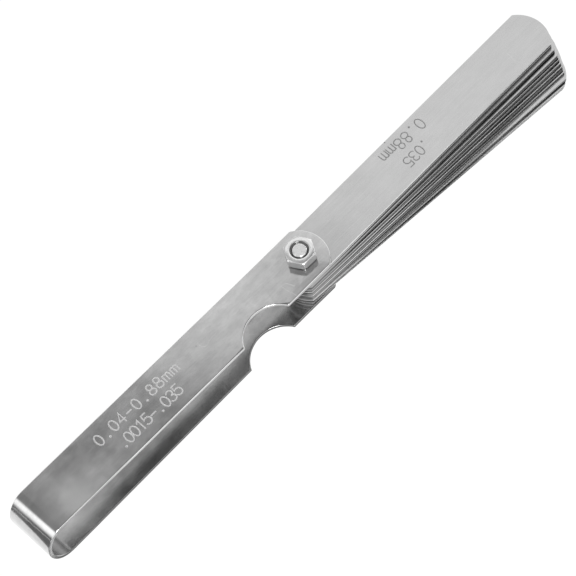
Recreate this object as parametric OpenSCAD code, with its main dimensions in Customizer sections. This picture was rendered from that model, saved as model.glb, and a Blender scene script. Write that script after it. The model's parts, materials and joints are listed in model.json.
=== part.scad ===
// Feeler gauge: 26 measuring blades on one screw, held between the two plates of a bent steel strip.
// X runs from the fold of the strip, through the pivot at x = 0, to the tips of the blades.
// Z runs up the pivot's axis from the face of the screw's head, on which the gauge rests.

/* [Blades] */

// width of every blade
blade_w = 12.7; // [12:0.1:13]
// distance from the pivot's axis to a blade's tip
blade_reach = 85; // [60:1:85]
// how much shorter the lowest blade is than the top one
tip_step = 3; // [0:0.1:4]
// distance from the pivot's axis to a blade's short end
blade_heel = 6.3; // [5:0.1:6.6]
// radius of a blade's rounded tip
tip_r = 8.4; // [6.6:0.1:12]
// gap between neighbouring blades
blade_gap = 0.02; // [0.01:0.01:0.04]
// share of the drawn fan, 0 for all the blades in line
fan_spread = 1; // [0:0.1:1.5]

/* [Holder] */

// width of the bent strip
strip_w = 13.5; // [13:0.1:15]
// thickness of the strip
sheet_t = 1; // [0.8:0.1:1.2]
// distance from the pivot's axis to the outside of the fold
fold_reach = 91.9; // [91:0.1:110]
// how far the rounded fold runs past the flat plates
fold_bulge = 5.6; // [4.5:0.1:7]
// how far the upper plate rises from the pivot to the fold
upper_rise = 1.35; // [0.5:0.05:2]
// how far the lower plate drops from the pivot to the fold
lower_drop = 1.1; // [0.5:0.05:1.5]
// distance from the pivot's axis to the strip's rounded ends
strip_heel = 6.6; // [6:0.1:7.5]
// radius of the strip's rounded ends
heel_r = 8; // [7.6:0.1:12]
// distance from the pivot's axis to the middle of the finger notch
notch_x = 18.7; // [17:0.1:30]
// depth of the finger notch
notch_depth = 4.5; // [3:0.1:5]
// radius of the finger notch
notch_r = 8.4; // [6:0.1:10]

/* [Pivot] */

// diameter of the screw
screw_d = 4; // [3.5:0.1:4.5]
// diameter of the screw's head
head_d = 7; // [6.5:0.1:8]
// height of the screw's head
head_h = 2.4; // [2:0.1:3]
// width of the slot in the head
slot_w = 1; // [0.8:0.1:1.2]
// radial clearance of every hole on the screw
hole_clearance = 0.05; // [0.02:0.01:0.08]
// nut across its flats
nut_flats = 7; // [6.5:0.1:8]
// height of the nut
nut_h = 3.2; // [2.5:0.1:4]
// angle by which the nut is turned on the screw
nut_turn = 59; // [0:1:59]

/* [Hidden] */

// Thickest blade on top: thickness in hundredths of a millimetre, and angle to the strip's long axis.
BLADES = [
    [88, 0.3], [80, 0.25], [75, -0.4], [70, -0.5], [63, -1.15], [55, -1.35],
    [50, -1.5], [48, -1.6], [45, -1.95], [43, -2.05], [40, -2.25], [38, -2.35],
    [35, -2.45], [33, -2.6], [30, -2.9], [28, -3], [25, -3.1], [23, -3.75], [20, -3.85],
    [18, -3.9], [15, -3.95], [13, -4], [10, -4.3], [8, -4.4], [5, -4.5], [4, -4.55]
];
blade_count = len(BLADES);

// a node's name is its thickness in three figures, such as blade_088 for 0.88 mm
function blade_name(i) = str("blade_", BLADES[i][0] < 10 ? "00" : "0", BLADES[i][0]);

function thickness(i) = BLADES[i][0] / 100;
// height of the first n blades from the top, each with the gap above it
function depth_of(n) = n == 0 ? 0 : depth_of(n - 1) + blade_gap + thickness(n - 1);

// the blades are nearly equal in length near the top, and shorter towards the bottom
tip_step_power = 3.8;
function blade_length(i) = blade_reach - tip_step * pow(i / (blade_count - 1), tip_step_power);

stack_h = depth_of(blade_count) + blade_gap;
lower_z = head_h;
stack_top_z = lower_z + sheet_t + stack_h;
upper_z = stack_top_z + sheet_t;
screw_r = screw_d / 2;
hole_r = screw_r + hole_clearance;
screw_proud = 0.1;
end_chamfer = 0.35;
head_chamfer = 0.5;
slot_depth = 1.1;
nut_bore_clearance = 0.02;
nut_chamfer_angle = 30;
countersink = 0.35;

// the fold's outside is half an ellipse, from the dropped lower plate to the risen upper plate
fold_r = (upper_z + upper_rise - lower_z + lower_drop) / 2;
fold_x = fold_bulge - fold_reach;
fold_z = upper_z + upper_rise - fold_r;
// each plate is level round the pivot and at the fold, and straight between two short soft bends
bend_start = -7;
bend_run = bend_start - fold_x;
bend_steps = 24;
soft_share = 0.1;
fold_steps = 36;
cut = 40;
$fn = 128;

blade_tint = "#c6c7c8";
strip_tint = "#a9abad";
nut_tint = "#d9dadb";
screw_tint = "#b4b6b8";

// flat outline of a strip along X, its +X end rounded to radius r
module rounded_end(reach, width, r, back) {
    intersection() {
        translate([-back, -width / 2]) square([back + reach, width]);
        union() {
            translate([reach - r, 0]) circle(r);
            translate([-back - 1, -width]) square([back + 1 + reach - r, 2 * width]);
        }
    }
}

// share of its rise that a plate has gained at share s of its run, level at both ends
function ease(s) =
    s < soft_share ? s * s / (2 * soft_share * (1 - soft_share)) :
    s > 1 - soft_share ? 1 - ease(1 - s) :
    (s - soft_share / 2) / (1 - soft_share);

// a plate's outer face from the pivot's end to just before the fold, 0 at the pivot and `rise` at the fold
function plate_line(rise) = concat(
    [[strip_heel + 1, 0]],
    [for (k = [0:bend_steps - 1]) [bend_start - bend_run * k / bend_steps, rise * ease(k / bend_steps)]]
);

// a point on the fold at angle a from its top, `depth` inside the outer face
function fold_point(a, depth) = let (
    across = fold_r * sin(a),
    along = fold_bulge * cos(a),
    inward = depth / norm([across, along])
) [
    fold_x - fold_bulge * sin(a) + across * inward,
    fold_z + fold_r * cos(a) - along * inward
];

// the strip's side view as one line from the upper plate round the fold to the lower plate,
// `depth` inside the outer face
function strip_line(depth) = let (
    upper = plate_line(upper_rise),
    lower = plate_line(lower_drop),
    last = len(lower) - 1
) concat(
    [for (p = upper) [p[0], upper_z + p[1] - depth]],
    [for (a = [0:180 / fold_steps:180]) fold_point(a, depth)],
    [for (k = [last:-1:0]) [lower[k][0], lower_z - lower[k][1] + depth]]
);

module strip_side() {
    outside = strip_line(0);
    inside = strip_line(sheet_t);
    polygon(concat(outside, [for (k = [len(inside) - 1:-1:0]) inside[k]]));
}

module holder() {
    color(strip_tint) difference() {
        intersection() {
            rotate([90, 0, 0]) linear_extrude(2 * strip_w, center = true) strip_side();
            linear_extrude(cut) rounded_end(strip_heel, strip_w, heel_r, fold_reach + 1);
        }
        cylinder(r = hole_r, h = cut);
        translate([-notch_x, notch_depth - notch_r - strip_w / 2, -1]) cylinder(r = notch_r, h = cut);
    }
}

module pivot_screw() {
    tip_z = upper_z + nut_h + screw_proud;
    color(screw_tint) difference() {
        union() {
            cylinder(r1 = head_d / 2 - head_chamfer, r2 = head_d / 2, h = head_chamfer);
            translate([0, 0, head_chamfer]) cylinder(r = head_d / 2, h = head_h - head_chamfer);
            cylinder(r = screw_r, h = tip_z - end_chamfer);
            translate([0, 0, tip_z - end_chamfer])
                cylinder(r1 = screw_r, r2 = screw_r - end_chamfer, h = end_chamfer);
        }
        translate([-head_d, -slot_w / 2, -1]) cube([2 * head_d, slot_w, slot_depth + 1]);
    }
}

module hex_nut() {
    corner_r = nut_flats / 2 / cos(30);
    chamfer_r = nut_flats / 2 * 0.96;
    // cones wide enough to clear the corners at half height, narrowing to chamfer_r at both faces
    half_h = nut_h / 2;
    cone_r = chamfer_r + half_h / tan(nut_chamfer_angle);
    bore_r = screw_r + nut_bore_clearance;
    color(nut_tint) translate([0, 0, upper_z]) rotate(nut_turn) difference() {
        intersection() {
            cylinder(r = corner_r, h = nut_h, $fn = 6);
            union() {
                cylinder(r1 = chamfer_r, r2 = cone_r, h = half_h);
                translate([0, 0, half_h]) cylinder(r1 = cone_r, r2 = chamfer_r, h = half_h);
            }
        }
        translate([0, 0, -1]) cylinder(r = bore_r, h = nut_h + 2);
        translate([0, 0, nut_h - countersink])
            cylinder(r1 = bore_r, r2 = bore_r + 2 * countersink, h = 2 * countersink);
    }
}

// blade number i, counted from the top of the stack
module blade(i) {
    t = thickness(i);
    color(blade_tint)
        translate([0, 0, stack_top_z - depth_of(i + 1)])
            rotate(fan_spread * BLADES[i][1])
                linear_extrude(t) difference() {
                    intersection() {
                        rounded_end(blade_length(i), blade_w, tip_r, blade_heel + 1);
                        mirror([1, 0]) rounded_end(blade_heel, blade_w, tip_r, blade_reach + 1);
                    }
                    circle(hole_r);
                }
}

holder();
pivot_screw();
hex_nut();
for (i = [0:blade_count - 1]) blade(i);
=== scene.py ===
"""Feeler gauge: steel materials, stamped sizes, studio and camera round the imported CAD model.

Lengths are in metres, written as millimetres times MM. X runs from the holder's fold to the blades' tips,
Y across the plates and Z up the pivot's axis, on which the origin lies.
"""
import json
import math

import bpy
from mathutils import Matrix, Vector


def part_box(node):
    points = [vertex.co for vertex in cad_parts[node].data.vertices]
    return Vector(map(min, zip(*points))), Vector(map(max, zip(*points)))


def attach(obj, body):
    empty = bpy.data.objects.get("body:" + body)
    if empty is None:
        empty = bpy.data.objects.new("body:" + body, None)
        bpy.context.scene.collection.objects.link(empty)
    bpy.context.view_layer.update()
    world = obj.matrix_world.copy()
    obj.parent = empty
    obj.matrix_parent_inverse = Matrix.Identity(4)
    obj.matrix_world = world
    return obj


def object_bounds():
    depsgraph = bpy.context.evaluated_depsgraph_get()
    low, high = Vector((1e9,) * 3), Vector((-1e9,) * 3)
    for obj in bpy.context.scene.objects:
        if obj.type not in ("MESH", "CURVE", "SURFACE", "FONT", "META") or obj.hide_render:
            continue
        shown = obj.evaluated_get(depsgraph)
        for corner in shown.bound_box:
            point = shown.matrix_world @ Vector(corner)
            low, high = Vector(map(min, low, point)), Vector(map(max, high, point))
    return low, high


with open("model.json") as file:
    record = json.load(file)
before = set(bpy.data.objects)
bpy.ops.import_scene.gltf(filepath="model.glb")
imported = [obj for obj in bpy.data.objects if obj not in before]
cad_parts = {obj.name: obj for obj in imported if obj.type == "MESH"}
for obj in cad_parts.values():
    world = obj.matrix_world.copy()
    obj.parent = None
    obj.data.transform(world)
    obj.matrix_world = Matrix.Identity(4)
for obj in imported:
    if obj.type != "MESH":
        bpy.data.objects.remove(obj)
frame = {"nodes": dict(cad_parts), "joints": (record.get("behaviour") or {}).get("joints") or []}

MM = 0.001
CAD_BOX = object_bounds()
HOLDER_LOW, HOLDER_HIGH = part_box("holder")
# From the thinnest, at the bottom, to the thickest, on top.
BLADES = sorted(name for name in frame["nodes"] if name.startswith("blade_"))


# ---------------------------------------------------------------- node helpers

class Shader:
    """A small builder round one node tree."""

    def __init__(self, tree):
        self.tree = tree
        self.nodes = tree.nodes
        self.nodes.clear()

    def node(self, kind, inputs=None, **settings):
        """A new node, whose inputs are linked where the value is a socket and set where it is not."""
        made = self.nodes.new(kind)
        for key, value in settings.items():
            setattr(made, key, value)
        for key, value in (inputs or {}).items():
            if isinstance(value, bpy.types.NodeSocket):
                self.tree.links.new(value, made.inputs[key])
            else:
                made.inputs[key].default_value = value
        return made

    def math(self, operation, a, b=0.0):
        return self.node("ShaderNodeMath", {0: a, 1: b}, operation=operation).outputs[0]

    def plus(self, a, b):
        return self.math("ADD", a, b)

    def minus(self, a, b):
        return self.math("SUBTRACT", a, b)

    def times(self, a, b):
        return self.math("MULTIPLY", a, b)

    def absolute(self, value):
        return self.math("ABSOLUTE", value)

    def mixed(self, first, second, share):
        """first where share is 0, second where it is 1."""
        return self.plus(self.times(self.minus(second, first), share), first)

    def ramp(self, value, low, high, out_low=0.0, out_high=1.0):
        """A smooth step from out_low to out_high, as value goes from low to high."""
        made = self.node(
            "ShaderNodeMapRange",
            {"Value": value, "From Min": low, "From Max": high, "To Min": out_low, "To Max": out_high},
            interpolation_type="SMOOTHSTEP",
        )
        return made.outputs["Result"]

    def spread(self, noise, amount):
        """A noise, most of which lies from 0.3 to 0.7, stretched to run from -amount to amount."""
        return self.ramp(noise, 0.3, 0.7, -amount, amount)

    def noise(self, vector, cells, detail, roughness, stretch=(1.0, 1.0, 1.0)):
        """Soft noise of so many cells to the metre; a stretch below 1 draws it out along that axis."""
        moved = self.node("ShaderNodeMapping", {"Vector": vector, "Scale": stretch})
        made = self.node(
            "ShaderNodeTexNoise",
            {"Vector": moved.outputs["Vector"], "Scale": cells, "Detail": detail, "Roughness": roughness},
        )
        return made.outputs["Fac"]

    def parts(self, vector):
        return self.node("ShaderNodeSeparateXYZ", {0: vector}).outputs

    def vector_math(self, operation, a, b=(0.0, 0.0, 0.0)):
        return self.node("ShaderNodeVectorMath", {0: a, 1: b}, operation=operation).outputs

    def grey(self, value):
        return self.node("ShaderNodeCombineColor", {0: value, 1: value, 2: value}).outputs[0]

    def bump(self, height, depth):
        made = self.node("ShaderNodeBump", {"Height": height, "Strength": 1.0, "Distance": depth})
        return made.outputs[0]

    def metal(self, colour, metallic, roughness, normal=None):
        """The metal surface that ends a material."""
        inputs = {"Base Color": self.grey(colour), "Metallic": metallic, "Roughness": roughness}
        if normal:
            inputs["Normal"] = normal
        shader = self.node("ShaderNodeBsdfPrincipled", inputs)
        self.node("ShaderNodeOutputMaterial", {"Surface": shader.outputs[0]})


def new_material(name):
    made = bpy.data.materials.new(name)
    made.use_nodes = True
    return made, Shader(made.node_tree)


# ---------------------------------------------------------------- sheet steel

# The fold begins here and fades into the flat plates over a millimetre.
FOLD_START = HOLDER_LOW.x + 8.4 * MM
FOLD_FADE = 1.0 * MM
# Noise cells to the metre, and how each noise is drawn out along the sheet.
CLOUD_CELLS = 90.0
SMEAR_CELLS, SMEAR_STRETCH = 420.0, (0.5, 1.0, 1.0)
ROLLING_CELLS, ROLLING_STRETCH = 2600.0, (0.03, 1.0, 1.0)
FINE_CELLS = 5200.0
HAIR_CELLS, HAIR_STRETCH = 70.0, (1.0, 0.6, 1.0)
HAIR_PATCH_CELLS = 190.0
SHEAR_CELLS, SHEAR_STRETCH = 3600.0, (0.012, 0.05, 1.0)
PIT_CELLS = 420.0
# Changes of grey.
ROLLING_GREY = 0.012
SCRATCH_GREY = 0.1
PIT_GREY = 0.35
SHEAR_GREY = 0.16
FINE_GREY = 0.05
# The rims carry a painted highlight, and painted shade at the foot of a piece.
RIM_PAINTED_HIGHLIGHT, RIM_FOOT_PAINTED_SHADE = 0.98, 0.35
# The sheet's inner side at the fold is darkened by this share, as painted shade.
INNER_PAINTED_SHADE = 0.55
# The cut sides are rougher and less metallic than the faces.
CUT_ROUGHER = 0.2
CUT_METALLIC = 0.45


def sheet_zones(s, place):
    """Masks of the sheet's flat faces with the fold, of its cut sides, and of the fold's inner side."""
    facing = s.parts(place["Normal"])
    up = s.absolute(facing["Z"])
    at_fold = s.ramp(s.parts(place["Object"])["X"], FOLD_START, FOLD_START - FOLD_FADE)
    fold = s.times(at_fold, s.ramp(s.absolute(facing["Y"]), 0.35, 0.1))
    flat = s.math("MAXIMUM", s.ramp(up, 0.93, 0.99), fold)
    side = s.times(s.ramp(up, 0.35, 0.12), s.minus(1.0, fold))
    inner = s.ramp(facing["X"], 0.05, 0.35)
    return flat, side, inner


def scratches(s, spot):
    """Fine hair lines, which show only in patches."""
    hair = s.noise(spot, HAIR_CELLS, 1.0, 0.5, HAIR_STRETCH)
    patches = s.ramp(s.noise(spot, HAIR_PATCH_CELLS, 2.0, 0.5), 0.56, 0.62)
    return s.times(s.ramp(s.absolute(s.minus(hair, 0.47)), 0.0018, 0.0006), patches)


def pitted(s, spot, share):
    """Small round pits, in that share of the cells."""
    cells = s.node("ShaderNodeTexVoronoi", {"Vector": spot, "Scale": PIT_CELLS, "Randomness": 1.0})
    pick = s.node("ShaderNodeSeparateColor", {0: cells.outputs["Color"]}).outputs[0]
    return s.times(s.ramp(cells.outputs["Distance"], 0.10, 0.04), s.math("LESS_THAN", pick, share))


def painted_patch(s, spot, smear, centre, half, gain):
    """A soft oval of the given half sizes, painted into the grey, which it changes by gain, such as a
    painted highlight.
    """
    moved = s.vector_math("SUBTRACT", spot, centre)[0]
    scaled = s.vector_math("DIVIDE", moved, half)[0]
    away = s.vector_math("LENGTH", scaled)["Value"]
    return s.ramp(s.plus(away, s.times(smear, 0.3)), 1.15, 0.25, 0.0, gain)


def cut_side(s, spot, fine, level, tone, foot_painted_shade):
    """The grey of a sheared side, streaked along the cut, with painted shade at its foot."""
    streak = s.noise(spot, SHEAR_CELLS, 1.0, 0.5, SHEAR_STRETCH)
    grey = s.plus(s.ramp(streak, 0.35, 0.65, -SHEAR_GREY, SHEAR_GREY), tone)
    grey = s.plus(grey, s.spread(fine, FINE_GREY))
    return s.times(grey, s.ramp(level, 0.15, 0.6, foot_painted_shade, 1.0))


def steel(name, tone, blotch, gloss, grain, edge_tone, edge_foot_painted_shade, pits, painted_patches=()):
    """Rolled sheet steel: polished faces with fine rolling lines, rims with a painted highlight, duller
    cut sides, and painted shade at the foot of rims and cut sides and on the fold's inner side.

    tone and blotch are the faces' mean grey and how far soft blotches move it. gloss is the lowest and the
    highest roughness, and grain the depth of the rolling lines. edge_tone is the cut sides' grey, and the
    next argument how much of it is left at their lowest part, under painted shade. pits is the share of
    cells with a pit.
    The last argument holds the centre, half size and change of grey of each patch painted into the faces,
    such as the painted highlights at the fold.
    """
    material, s = new_material(name)
    place = s.node("ShaderNodeTexCoord").outputs
    spot = place["Object"]
    level = s.parts(place["Generated"])["Z"]
    flat, side, inner = sheet_zones(s, place)
    cloud = s.noise(spot, CLOUD_CELLS, 4.0, 0.55)
    smear = s.noise(spot, SMEAR_CELLS, 4.0, 0.65, SMEAR_STRETCH)
    lines = s.noise(spot, ROLLING_CELLS, 2.0, 0.7, ROLLING_STRETCH)
    fine = s.noise(spot, FINE_CELLS, 2.0, 0.6)
    scratch = scratches(s, spot)

    face = s.plus(s.spread(cloud, blotch), tone)
    face = s.plus(face, s.spread(smear, 0.8 * blotch))
    face = s.plus(face, s.spread(lines, ROLLING_GREY))
    face = s.plus(face, s.times(scratch, SCRATCH_GREY))
    face = s.minus(face, s.times(pitted(s, spot, pits), PIT_GREY))
    # Patches painted into the grey: painted highlights at the fold, and a darker patch under the marks.
    for centre, half, gain in painted_patches:
        face = s.plus(face, painted_patch(s, spot, smear, centre, half, gain))
    # Painted shade on the fold's inner side.
    face = s.times(face, s.minus(1.0, s.times(inner, INNER_PAINTED_SHADE)))
    # The rims: a painted highlight, fading to painted shade at the foot of a piece.
    rim_painted_light = s.ramp(level, 0.08, 0.3, RIM_FOOT_PAINTED_SHADE, RIM_PAINTED_HIGHLIGHT)
    colour = s.mixed(rim_painted_light, face, flat)
    # The cut sides, with painted shade at their foot.
    colour = s.mixed(colour, cut_side(s, spot, fine, level, edge_tone, edge_foot_painted_shade), side)

    rough = s.ramp(s.plus(cloud, s.times(fine, 0.35)), 0.4, 0.95, gloss[0], gloss[1])
    rough = s.plus(rough, s.times(side, CUT_ROUGHER))
    rough = s.plus(rough, s.times(inner, CUT_ROUGHER))
    height = s.plus(s.times(lines, 0.8), s.times(fine, 0.35))
    height = s.minus(height, s.times(scratch, 0.8))
    s.metal(colour, s.ramp(side, 0.0, 1.0, 1.0, CUT_METALLIC), rough, s.bump(height, grain))
    return material


# ---------------------------------------------------------------- hardware and stamped marks

def plated(name, tone, rough, metallic, thread_shade_radii):
    """Turned or pressed hardware with a bright plating.

    The last argument is the inner and outer radius, in millimetres, of the ring of painted shade where the
    threads meet.
    """
    material, s = new_material(name)
    place = s.node("ShaderNodeTexCoord").outputs
    spot = place["Object"]
    cloud = s.noise(spot, 500.0, 4.0, 0.6)
    grainy = s.noise(spot, 3800.0, 2.0, 0.6)
    across = s.vector_math("MULTIPLY", spot, (1 / MM, 1 / MM, 0.0))[0]
    radius = s.vector_math("LENGTH", across)["Value"]
    inner, outer = thread_shade_radii
    middle, half = (outer + inner) / 2, (outer - inner) / 2
    thread_shade_ring = s.ramp(s.absolute(s.minus(radius, middle)), half, half / 2)
    colour = s.plus(s.ramp(cloud, 0.3, 0.7, -0.05, 0.04), tone)
    # Painted shade in the ring where the threads meet.
    colour = s.times(colour, s.minus(1.0, s.times(thread_shade_ring, 0.8)))
    # Painted shade at the foot, where it meets the plate.
    colour = s.times(colour, s.ramp(s.parts(place["Generated"])["Z"], 0.02, 0.22, 0.3, 1.0))
    roughness = s.ramp(cloud, 0.3, 0.7, rough - 0.05, rough + 0.07)
    s.metal(colour, metallic, roughness, s.bump(grainy, 0.012 * MM))
    return material


def stamped(name, tone, rough):
    """The floor and burr of a stamped stroke."""
    material, s = new_material(name)
    uneven = s.noise(s.node("ShaderNodeTexCoord").outputs["Object"], 2600.0, 3.0, 0.6)
    s.metal(s.plus(s.spread(uneven, 0.08), tone), 1.0, rough)
    return material


# ---------------------------------------------------------------- the gauge's materials

ROLLING_DEPTH = 0.0016 * MM
PLATE_FACE = HOLDER_HIGH.z - 0.11 * MM
# Centre, half size and change of grey of each painted patch: a painted highlight at the fold's top, a
# darker patch under the marks, and a painted highlight round the fold.
PAINTED_HIGHLIGHT_AND_DARK_PATCHES = (
    ((HOLDER_LOW.x + 13.7 * MM, -4.2 * MM, PLATE_FACE), (14.5 * MM, 8.2 * MM, 10 * MM), 0.42),
    ((HOLDER_LOW.x + 33.9 * MM, 1 * MM, PLATE_FACE), (20 * MM, 20 * MM, 30 * MM), -0.14),
    ((HOLDER_LOW.x - 2.1 * MM, 0.0, HOLDER_LOW.z + 3.2 * MM), (7.5 * MM, 30 * MM, 8.5 * MM), 0.32),
)
HOLDER_STEEL = steel(
    "holder_steel", tone=0.6, blotch=0.06, gloss=(0.1, 0.18), grain=ROLLING_DEPTH,
    edge_tone=0.48, edge_foot_painted_shade=0.06, pits=0.05, painted_patches=PAINTED_HIGHLIGHT_AND_DARK_PATCHES,
)
# Painted light and shade on a blade's cut side, as lit and shaded copies of one steel: the name of the
# look and its grey, by the look's letter.
EDGE_PAINTED_LIGHT_TONES = {"l": ("light", 0.97), "f": ("fair", 0.72), "m": ("middle", 0.42), "d": ("dark", 0.07)}
BLADE_STEELS = {
    letter: steel(
        "blade_steel_edge_painted_" + look, tone=0.575, blotch=0.015, gloss=(0.1, 0.16), grain=ROLLING_DEPTH,
        edge_tone=edge_tone, edge_foot_painted_shade=0.3, pits=0.02,
    )
    for letter, (look, edge_tone) in EDGE_PAINTED_LIGHT_TONES.items()
}
# The painted light and shade of each blade's cut side, thickest blade first.
EDGE_PAINTED_LIGHT_ORDER = "fmmdmdfdmdldmdmdllmddmllll"
NUT_STEEL = plated("nut_steel", tone=0.94, rough=0.18, metallic=0.6, thread_shade_radii=(2.08, 2.4))
SCREW_STEEL = plated("screw_steel", tone=0.9, rough=0.18, metallic=0.8, thread_shade_radii=(1.8, 2.05))
BLADE_MARK = stamped("blade_mark", tone=0.46, rough=0.45)
# The holder's strokes are painted near white, as a painted highlight on their burrs.
HOLDER_MARK_PAINTED_HIGHLIGHT = stamped("holder_mark", tone=0.98, rough=0.5)


# ---------------------------------------------------------------- CAD nodes

HOLDER_EDGE = 0.22 * MM
NUT_EDGE = 0.12 * MM
JOIN_DISTANCE = 0.001 * MM
SHARPEST_SMOOTH = math.radians(32)
FACE_WEIGHT = 100


def dress(name, material, edge=0.0, segments=2):
    """Gives a CAD node its material, smooth shading and, where edge is a width, rounded edges."""
    node = frame["nodes"][name]
    node.data.materials.clear()
    node.data.materials.append(material)
    for face in node.data.polygons:
        face.use_smooth = True
    if not edge:
        return
    # The mesh's corners are split, so they are joined before the bevel.
    joined = node.modifiers.new("joined", "WELD")
    joined.merge_threshold = JOIN_DISTANCE
    rounding = node.modifiers.new("edge", "BEVEL")
    rounding.width = edge
    rounding.segments = segments
    rounding.limit_method = "ANGLE"
    rounding.angle_limit = SHARPEST_SMOOTH
    levelled = node.modifiers.new("levelled", "WEIGHTED_NORMAL")
    levelled.mode = "FACE_AREA"
    levelled.weight = FACE_WEIGHT


dress("holder", HOLDER_STEEL, HOLDER_EDGE, 3)
dress("pivot_screw", SCREW_STEEL)
dress("hex_nut", NUT_STEEL, NUT_EDGE)
for blade, look in zip(reversed(BLADES), EDGE_PAINTED_LIGHT_ORDER):
    dress(blade, BLADE_STEELS[look])


# ---------------------------------------------------------------- stamped sizes

def arc(cx, cy, rx, ry, start, end, steps=10):
    """Points round an ellipse from start to end, in degrees."""
    turns = [math.radians(start + (end - start) * k / steps) for k in range(steps + 1)]
    return [(cx + rx * math.cos(a), cy + ry * math.sin(a)) for a in turns]


# Each sign is a list of strokes in a box 0.6 wide and 1 high.
SIGNS = {
    "0": [arc(0.3, 0.5, 0.28, 0.5, 90, 450, 22)],
    "1": [[(0.12, 0.78), (0.34, 1.0), (0.34, 0.0)]],
    "2": [arc(0.3, 0.72, 0.27, 0.28, 165, -38) + [(0.02, 0.0), (0.6, 0.0)]],
    "3": [arc(0.28, 0.75, 0.26, 0.25, 155, -90), arc(0.28, 0.26, 0.3, 0.26, 90, -155)],
    "4": [[(0.44, 0.0), (0.44, 1.0), (0.0, 0.3), (0.6, 0.3)]],
    "5": [[(0.55, 1.0), (0.1, 1.0), (0.06, 0.56)] + arc(0.27, 0.32, 0.31, 0.32, 118, -150)],
    "6": [arc(0.3, 0.3, 0.28, 0.3, 90, 450, 18), arc(0.6, 0.32, 0.57, 0.68, 180, 108, 8)],
    "7": [[(0.02, 1.0), (0.6, 1.0), (0.2, 0.0)]],
    "8": [arc(0.3, 0.75, 0.23, 0.25, -90, 270, 18), arc(0.3, 0.26, 0.29, 0.26, 90, 450, 18)],
    "9": [arc(0.3, 0.7, 0.28, 0.3, -90, 270, 18), arc(0.0, 0.68, 0.57, 0.68, 0, -72, 8)],
    "m": [[(0.0, 0.0), (0.0, 0.62)], arc(0.15, 0.44, 0.15, 0.18, 180, 0, 7) + [(0.3, 0.0)],
          arc(0.45, 0.44, 0.15, 0.18, 180, 0, 7) + [(0.6, 0.0)]],
    ".": [arc(0.3, 0.05, 0.045, 0.05, 0, 360, 8)],
    "-": [[(0.05, 0.45), (0.55, 0.45)]],
}

# A stroke's cross-section: a low floor between two burrs, as shares of its half width and of its height.
STROKE_SECTION = [(-1.0, 0.04), (-0.62, 1.0), (0.0, 0.1), (0.62, 1.0), (1.0, 0.04)]
# How high a stroke is at its two ends, how far they are rounded out, and how far a mitre may stretch.
END_RISE = 0.3
END_REACH = 0.8
MITRE_LIMIT = 0.45
NO_LENGTH = 1e-6


def direction(points, k, closed):
    """A stroke's direction just before point k, and its mean direction there."""
    count = len(points)
    point = points[k]
    before = points[(k - 1) % count] if closed or k else point
    after = points[(k + 1) % count] if closed or k < count - 1 else point
    into = (point - before).normalized() if point != before else (after - point).normalized()
    out = (after - point).normalized() if after != point else into
    if (into + out).length > NO_LENGTH:
        return into, (into + out).normalized()
    return into, into


def section(points, k, closed, width, proud):
    """The corners of a stroke's cross-section at point k."""
    into, along = direction(points, k, closed)
    side = Vector((-along.y, along.x)) / max(MITRE_LIMIT, along.dot(into))
    at_end = not closed and k in (0, len(points) - 1)
    cap = along * width / 2 * (-1 if k == 0 else 1) if at_end else Vector((0, 0))
    corners = []
    for share, rise in STROKE_SECTION:
        spot = points[k] + side * (share * width / 2) + cap * (1 - abs(share)) * END_REACH
        corners.append((spot.x, spot.y, proud * (min(rise, END_RISE) if at_end else rise)))
    return corners


def stroke_mesh(strokes, width, proud):
    """One mesh of stamped strokes."""
    verts, faces = [], []
    corners = len(STROKE_SECTION)
    for line in strokes:
        points = [Vector(p) for p in line]
        closed = (points[0] - points[-1]).length < NO_LENGTH * 0.1
        if closed:
            points.pop()
        count = len(points)
        first = len(verts)
        for k in range(count):
            verts += section(points, k, closed, width, proud)
        for k in range(count if closed else count - 1):
            here, there = first + corners * k, first + corners * ((k + 1) % count)
            for j in range(corners - 1):
                faces.append((there + j, there + j + 1, here + j + 1, here + j))
    mesh = bpy.data.meshes.new("marks")
    mesh.from_pydata(verts, [], faces)
    mesh.update()
    for face in mesh.polygons:
        face.use_smooth = True
    return mesh


def write(text, height, pitch, jitter):
    """Strokes of a line of signs centred on the origin, pitch apart, each up or down by up to jitter."""
    span = pitch * (len(text) - 1) + 0.6 * height
    strokes = []
    for k, sign in enumerate(text):
        lift = jitter * math.sin(7.3 * k + len(text))
        for stroke in SIGNS[sign]:
            spots = [(k * pitch + x * height - span / 2, (y - 0.5) * height + lift) for x, y in stroke]
            strokes.append(spots)
    return strokes


def placed(strokes, x, y, turn):
    """The strokes turned about the origin and moved to (x, y)."""
    c, s = math.cos(turn), math.sin(turn)
    return [[(x + c * p - s * q, y + s * p + c * q) for p, q in stroke] for stroke in strokes]


def marks(name, strokes, surface, width, proud, material, body):
    """Strokes laid on a body's face, whose height at x is surface(x)."""
    mesh = stroke_mesh(strokes, width, proud)
    for vertex in mesh.vertices:
        vertex.co.z += surface(vertex.co.x)
    piece = bpy.data.objects.new(name, mesh)
    bpy.context.scene.collection.objects.link(piece)
    piece.data.materials.append(material)
    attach(piece, body)


def inches(hundredths_mm):
    """The inch mark for a blade, in thousandths, with a half where the size has one."""
    mils = hundredths_mm / 2.54
    nearest = round(mils * 2) / 2
    if nearest > 3 or abs(nearest - round(nearest)) < 0.1:
        return ".%03d" % round(mils)
    return ".%04d" % round(nearest * 10)


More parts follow.
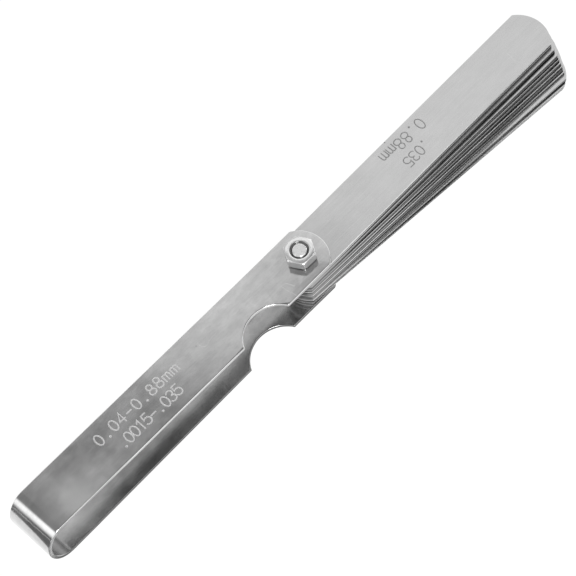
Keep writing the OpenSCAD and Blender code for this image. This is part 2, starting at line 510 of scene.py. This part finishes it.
def blade_marks(joint):
    """A blade's size in millimetres and inches, in two lines that run along it towards the pivot."""
    blade = joint["child"]
    size = int(blade.split("_")[1])
    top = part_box(blade)[1].z
    # At its upper limit the blade points straight into the holder.
    angle = math.radians(180 - joint["range_deg"][1])
    metric = write("%.2fmm" % (size / 100), 3.2 * MM, 2.42 * MM, 0.05 * MM)
    inch = write(inches(size), 2.9 * MM, 2.05 * MM, 0.04 * MM)
    lines = placed(metric, 39.0 * MM, 3.1 * MM, math.pi) + placed(inch, 38.6 * MM, -1.9 * MM, math.pi)
    lines = placed(lines, 0, 0, angle)
    marks("marks_%03d" % size, lines, lambda x: top, 0.3 * MM, 0.012 * MM, BLADE_MARK, blade)


def holder_line():
    """(x, z) along the holder's upper outer face, from the fold's top to the rounded end."""
    best = {}
    for vertex in frame["nodes"]["holder"].data.vertices:
        key = round(vertex.co.x, 5)
        best[key] = max(best.get(key, -1), vertex.co.z)
    top = max(best.values())
    flat = min(x for x, z in best.items() if z > top - 0.001 * MM)
    line = []
    for x, z in sorted(best.items()):
        on_face = x >= flat and z > top - 1.5 * MM
        if on_face and (not line or z <= line[-1][1] + 0.001 * MM):
            line.append((x, z))
    return line


def holder_marks():
    """The range of sizes in millimetres and inches, along the upper plate's sloping face."""
    line = holder_line()

    def surface(x):
        for (x0, z0), (x1, z1) in zip(line, line[1:]):
            if x0 <= x <= x1:
                return z0 + (z1 - z0) * (x - x0) / (x1 - x0)
        return line[-1][1]

    middle = HOLDER_LOW.x + 38.7 * MM
    rows = placed(write("0.04-0.88mm", 3.0 * MM, 2.45 * MM, 0.08 * MM), middle, 2.3 * MM, 0)
    rows += placed(write(".0015-.035", 3.0 * MM, 2.0 * MM, 0.08 * MM), middle, -2.4 * MM, 0)
    marks("marks_holder", rows, surface, 0.38 * MM, 0.03 * MM, HOLDER_MARK_PAINTED_HIGHLIGHT, "holder")


for joint in frame["joints"]:
    blade_marks(joint)
holder_marks()


# ---------------------------------------------------------------- studio

FLOOR_HALF = 3.0
FLOOR_GREY, FLOOR_GLOW = 0.1, 0.97
# The dark card lies beyond the fold, and slants away to the back.
CARD_GAP = 12 * MM
CARD_FRONT, CARD_BACK, CARD_DEPTH = -0.05, 0.16, 0.25
CARD_GREY, CARD_GLOW = 0.12, 0.08
# Brightness of the surroundings, where 1 is white.
SOFTBOX, SOFTBOX_FAR, CEILING, REAR_CEILING = 0.82, -0.13, 0.27, 0.36
FRONT_WALL, RIGHT_WALL, LEFT_WALL, OTHER_WALLS = 0.8, 0.9, 0.15, 0.3
WINDOW = 1.25


def slab(name, corners, z, grey, glow):
    """A level sheet, part plain matte and part self-lit."""
    mesh = bpy.data.meshes.new(name)
    mesh.from_pydata([(x, y, z) for x, y in corners], [], [tuple(range(len(corners)))])
    piece = bpy.data.objects.new(name, mesh)
    bpy.context.scene.collection.objects.link(piece)
    material, s = new_material(name)
    lit = s.node("ShaderNodeEmission", {"Color": (1, 1, 1, 1), "Strength": glow})
    matte = s.node("ShaderNodeBsdfDiffuse", {"Color": (grey, grey, grey, 1)})
    both = s.node("ShaderNodeAddShader", {0: lit.outputs[0], 1: matte.outputs[0]})
    s.node("ShaderNodeOutputMaterial", {"Surface": both.outputs[0]})
    mesh.materials.append(material)
    return piece


def table():
    """A white table top, and beyond the fold a dark card that only shows in the steel."""
    bottom = CAD_BOX[0].z - 0.05 * MM
    far = FLOOR_HALF
    slab("floor", [(-far, -far), (far, -far), (far, far), (-far, far)], bottom, FLOOR_GREY, FLOOR_GLOW)
    near = CAD_BOX[0].x - CARD_GAP
    corners = [
        (near - CARD_FRONT, CARD_FRONT),
        (near - CARD_BACK, CARD_BACK),
        (near - CARD_BACK - CARD_DEPTH, CARD_BACK),
        (near - CARD_FRONT - CARD_DEPTH, CARD_FRONT),
    ]
    card = slab("card", corners, bottom + 0.4 * MM, CARD_GREY, CARD_GLOW)
    card.visible_camera = False
    card.visible_shadow = False


def overhead(s, x, y):
    """Light from above: a softbox to the right and back, dark over the camera, dim again behind it."""
    slant = s.plus(x, y)
    level = s.plus(s.ramp(slant, 0.612, 0.665, 0.0, SOFTBOX), CEILING)
    level = s.plus(level, s.ramp(slant, 0.68, 0.76, 0.0, SOFTBOX_FAR))
    level = s.times(level, s.ramp(y, -0.05, 0.25, 0.03, 1.0))
    return s.plus(level, s.ramp(y, -0.42, -0.55, 0.0, REAR_CEILING))


def around(s, x, y):
    """Light from the walls: bright in front and to the right, darker in the corner between them."""
    level = s.plus(s.ramp(y, -0.5, -0.75, 0.0, FRONT_WALL), s.ramp(x, -0.95, -0.4, LEFT_WALL, OTHER_WALLS))
    level = s.plus(level, s.ramp(x, 0.5, 0.75, 0.0, RIGHT_WALL))
    return s.times(level, s.ramp(s.minus(x, y), 1.2, 1.32, 1.0, 0.3))


def surroundings():
    """A grey studio, with walls below, a lit ceiling above and a low window to the left."""
    world = bpy.data.worlds.new("studio")
    bpy.context.scene.world = world
    world.use_nodes = True
    s = Shader(world.node_tree)
    x, y, z = s.parts(s.node("ShaderNodeTexCoord").outputs["Generated"])
    level = s.mixed(around(s, x, y), overhead(s, x, y), s.ramp(z, 0.42, 0.55))
    window = s.times(s.ramp(x, -0.52, -0.7), s.ramp(z, 0.08, 0.42))
    window = s.times(window, s.ramp(y, -0.05, 0.2, 0.4, 1.0))
    level = s.plus(level, s.times(window, WINDOW))
    back = s.node("ShaderNodeBackground", {"Color": s.grey(level), "Strength": 1.0})
    s.node("ShaderNodeOutputWorld", {"Surface": back.outputs[0]})


def key_lamp():
    """A soft square lamp, high in front and to the left."""
    place = Vector((-0.5, -0.9, 0.9))
    data = bpy.data.lights.new("key", "AREA")
    data.shape = "RECTANGLE"
    data.size, data.size_y = 0.5, 0.5
    data.energy = 7.0
    piece = bpy.data.objects.new("key", data)
    bpy.context.scene.collection.objects.link(piece)
    piece.location = place
    piece.rotation_mode = "QUATERNION"
    piece.rotation_quaternion = (-place).to_track_quat("-Z", "Y")


def camera():
    """A long lens above the notch side, turned a little on its axis."""
    lens, sensor, distance = 176.0, 36.0, 672.0 * MM
    heading, height, roll = (math.radians(a) for a in (31.7, 62.3, -16.0))
    aim = Vector((-6.3, -0.6, 8.0)) * MM
    run, drop = math.cos(height), math.sin(height)
    ahead = Vector((math.sin(heading) * run, math.cos(heading) * run, -drop))
    level = ahead.cross(Vector((0, 0, 1))).normalized()
    over = level.cross(ahead)
    right = level * math.cos(roll) + over * math.sin(roll)
    up = over * math.cos(roll) - level * math.sin(roll)
    data = bpy.data.cameras.new("camera")
    data.lens, data.sensor_width = lens, sensor
    data.clip_start, data.clip_end = 0.01, 20.0
    piece = bpy.data.objects.new("camera", data)
    bpy.context.scene.collection.objects.link(piece)
    turned = Matrix((right, up, -ahead)).transposed().to_4x4()
    piece.matrix_world = Matrix.Translation(aim - ahead * distance) @ turned
    bpy.context.scene.camera = piece


table()
surroundings()
key_lamp()
camera()
bpy.context.scene.view_settings.view_transform = "Standard"
